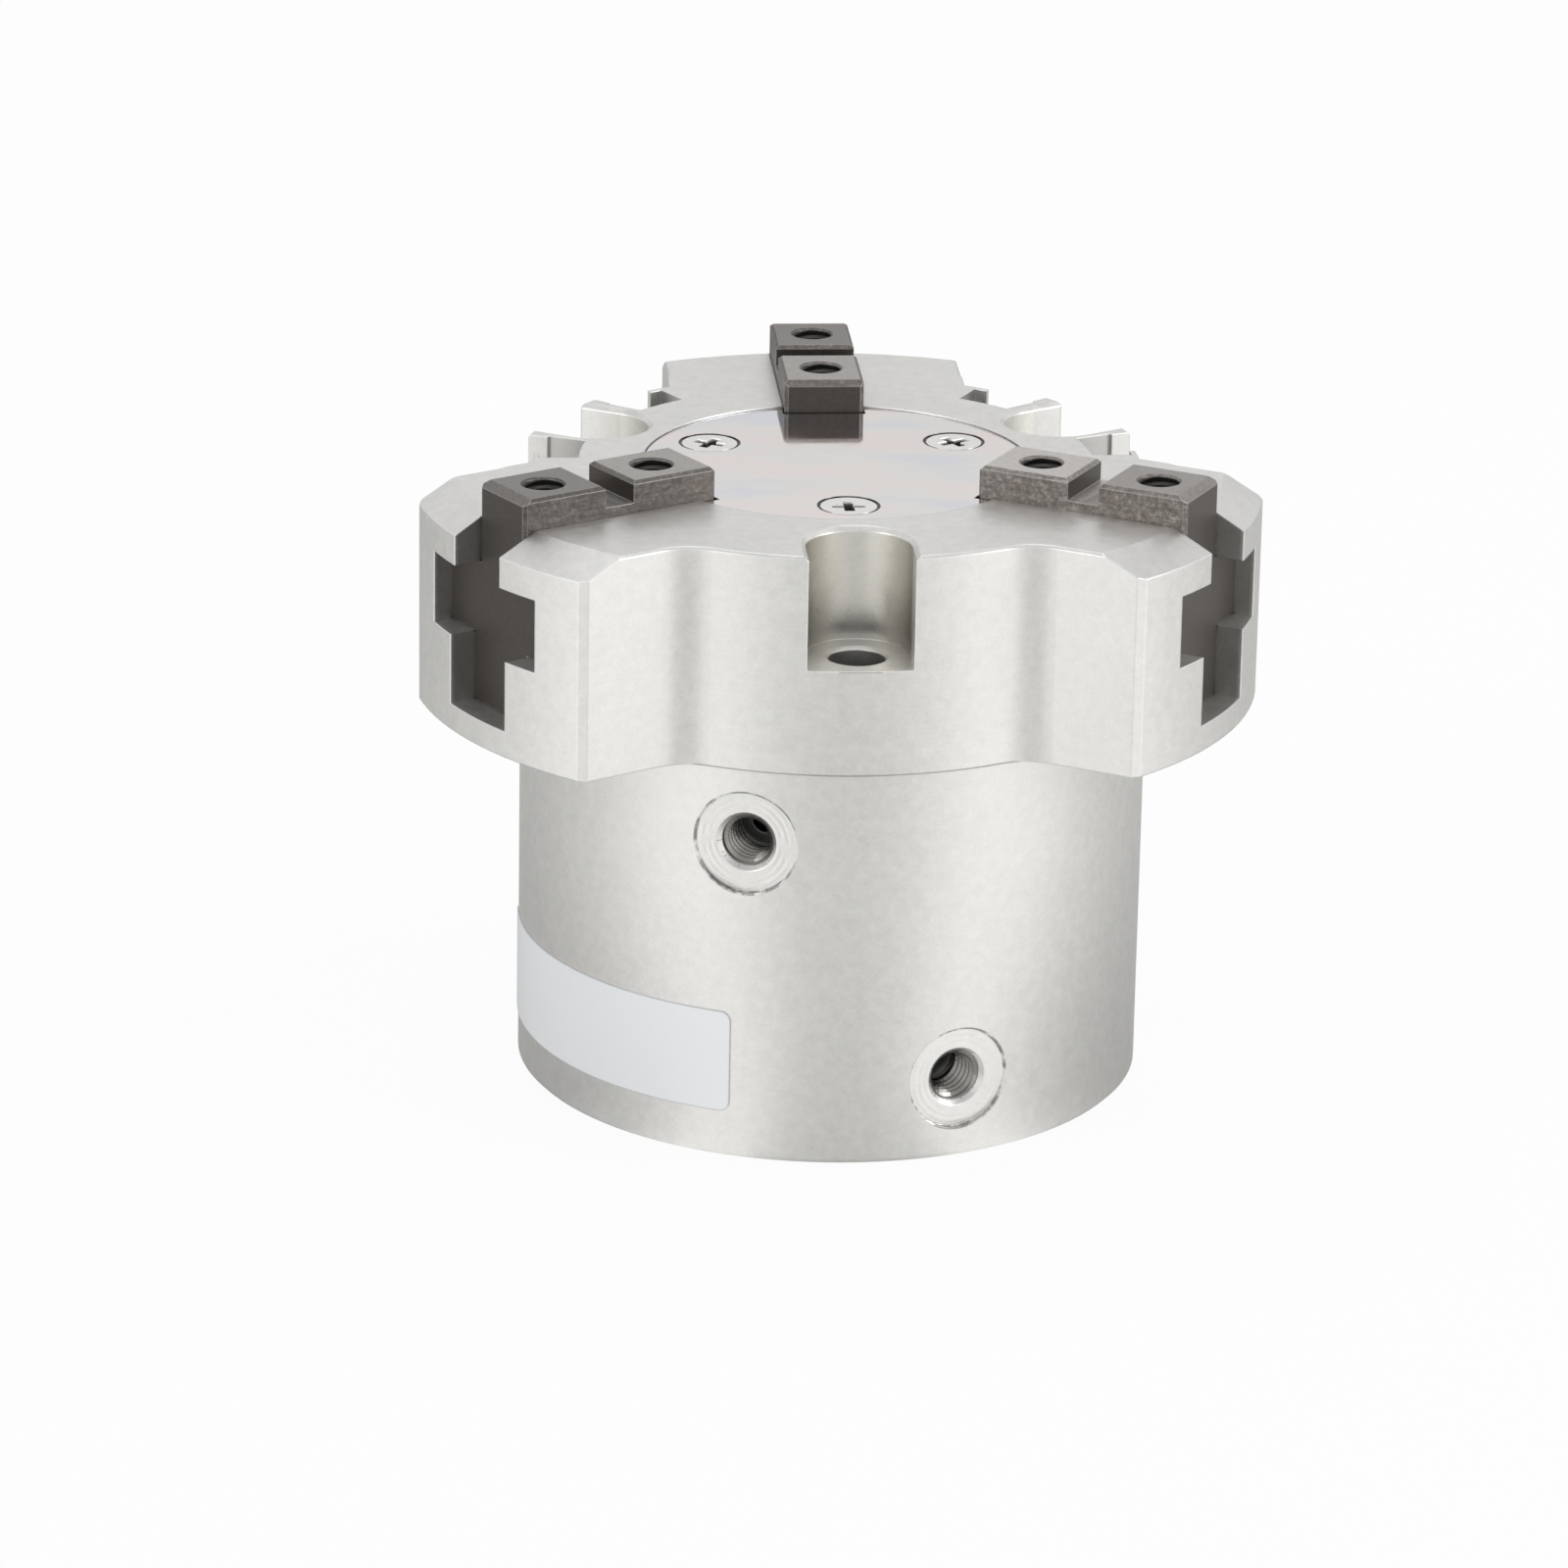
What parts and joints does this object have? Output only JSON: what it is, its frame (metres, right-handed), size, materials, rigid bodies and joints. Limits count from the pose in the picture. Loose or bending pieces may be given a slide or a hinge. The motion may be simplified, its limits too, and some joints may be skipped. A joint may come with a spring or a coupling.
{
  "type": "three-finger pneumatic gripper",
  "caption": "Pneumatic parallel gripper: jaws slide outward in cross-shaped guides of a lobed aluminium head, driven by a piston with a wedge cam in the round body below.",
  "frame": {"origin": "centre of the lower mounting face, on the body's axis", "axes": "+Z along the body's axis from the mounting face to the jaws; +Y towards the rear jaw; +X to the right with the two air ports in front"},
  "size_m": [0.0824, 0.0741, 0.0649],
  "materials": {
    "anodised_body": "satin clear anodised",
    "end_cap": "satin turned",
    "seal_rubber": "moulded",
    "spring_steel": "dark phosphated",
    "bush_bronze": "turned",
    "cover_steel": "glossy, slightly cloudy",
    "screw_steel": "bright plated",
    "label_foil": "silver foil, blank",
    "piston_aluminium": "turned",
    "magnet": "bonded magnet",
    "bumper_rubber": "moulded",
    "black_steel": "black oxide",
    "hardened_steel": "ground and hardened",
    "jaw_steel": "hardened, rough ground"
  },
  "bodies": {
    "housing": {"housing": "anodised_body", "end_cap": "end_cap", "end_cap_seal": "seal_rubber", "retaining_ring": "spring_steel", "rod_seal": "seal_rubber", "rod_bush": "bush_bronze", "cover_plate": "cover_steel", "cover_screw_front": "screw_steel", "cover_screw_right": "screw_steel", "cover_screw_left": "screw_steel", "name_label": "label_foil"},
    "piston": {"piston": "piston_aluminium", "piston_seal": "seal_rubber", "magnet_ring": "magnet", "lower_bumper": "bumper_rubber", "upper_bumper": "bumper_rubber", "piston_bolt": "black_steel", "wedge_cam": "hardened_steel"},
    "jaw_rear": {"jaw_rear": "jaw_steel"},
    "jaw_left": {"jaw_left": "jaw_steel"},
    "jaw_right": {"jaw_right": "jaw_steel"}
  },
  "joints": [
    {"name": "piston_stroke", "type": "slide", "parent": "housing", "child": "piston", "axis": [0, 0, 1], "range_m": [0, 0.00953]},
    {"name": "jaw_rear_slide", "type": "slide", "parent": "housing", "child": "jaw_rear", "axis": [0, 1, 0], "range_m": [0, 0.008]},
    {"name": "jaw_left_slide", "type": "slide", "parent": "housing", "child": "jaw_left", "axis": [-0.866, -0.5, 0], "range_m": [0, 0.008]},
    {"name": "jaw_right_slide", "type": "slide", "parent": "housing", "child": "jaw_right", "axis": [0.866, -0.5, 0], "range_m": [0, 0.008]}
  ],
  "couplings": [
    {"joint": "jaw_rear_slide", "follows": "piston_stroke", "ratio": 0.8391},
    {"joint": "jaw_left_slide", "follows": "piston_stroke", "ratio": 0.8391},
    {"joint": "jaw_right_slide", "follows": "piston_stroke", "ratio": 0.8391}
  ]
}
